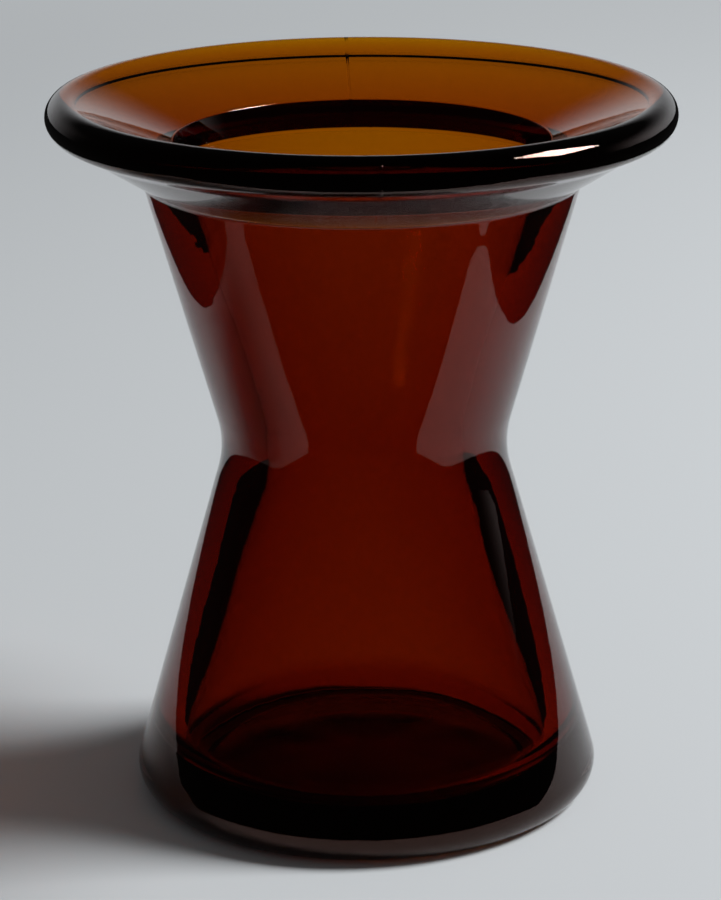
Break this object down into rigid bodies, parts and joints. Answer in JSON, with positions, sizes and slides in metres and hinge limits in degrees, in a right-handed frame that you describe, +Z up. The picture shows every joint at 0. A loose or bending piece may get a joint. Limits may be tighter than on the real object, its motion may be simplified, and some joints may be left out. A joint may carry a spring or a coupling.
{
  "type": "vase",
  "caption": "Flared hourglass vase in amber glass: a dished rim with a rounded edge, a throat, a narrow waist and a wide foot.",
  "frame": {"origin": "centre of the ring that the vase stands on", "axes": "+Z up along the vase's axis"},
  "size_m": [0.104, 0.104, 0.1213],
  "materials": {
    "amber_glass": "clear brown amber glass, fire polished"
  },
  "bodies": {
    "root": {"vase_body": "amber_glass"}
  },
  "joints": []
}
